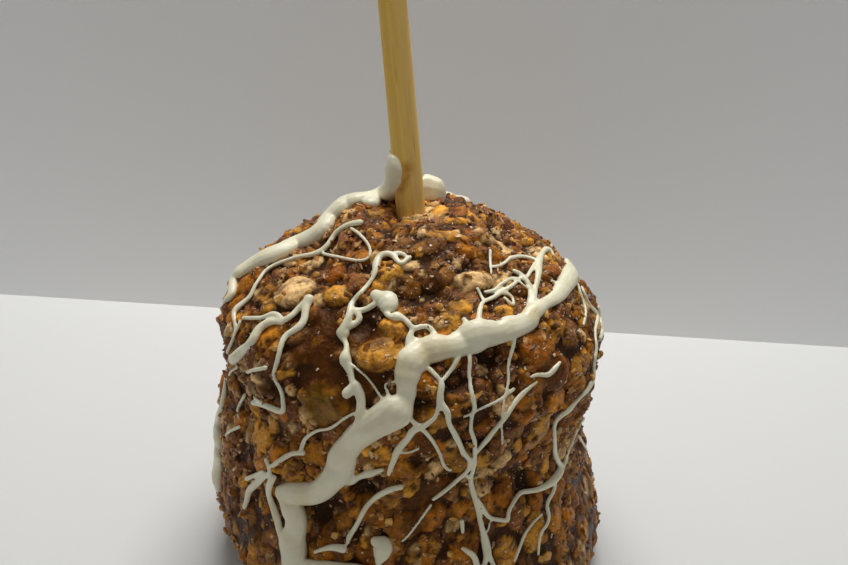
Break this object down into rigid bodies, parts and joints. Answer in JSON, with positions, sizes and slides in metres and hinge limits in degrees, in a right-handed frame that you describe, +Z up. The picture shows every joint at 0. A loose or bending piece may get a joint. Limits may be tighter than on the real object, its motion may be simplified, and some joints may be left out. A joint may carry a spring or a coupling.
{
  "type": "caramel apple",
  "caption": "Fruit on a bamboo stick with a lumpy caramel, nut and milk chocolate coating and drizzled bands of white chocolate.",
  "frame": {"origin": "on the table under the middle of the fruit, at the centre of the flat foot", "axes": "+Z up, -Y towards the front, where the thick white band crosses the coating; the stick leans towards -X and +Y"},
  "size_m": [0.0959, 0.096, 0.1593],
  "materials": {
    "coating": "lumpy caramel with chopped nuts and milk chocolate crumb, satin with glossy spots",
    "stick": "planed bamboo with fine darker fibres, matt",
    "white_chocolate": "set ivory white chocolate, smooth satin"
  },
  "bodies": {
    "root": {"coated_apple": "coating", "bamboo_stick": "stick", "front_band": "white_chocolate", "shoulder_band": "white_chocolate", "stick_dab": "white_chocolate", "left_drip": "white_chocolate", "foot_pool": "white_chocolate", "back_band": "white_chocolate", "side_band": "white_chocolate"}
  },
  "joints": []
}
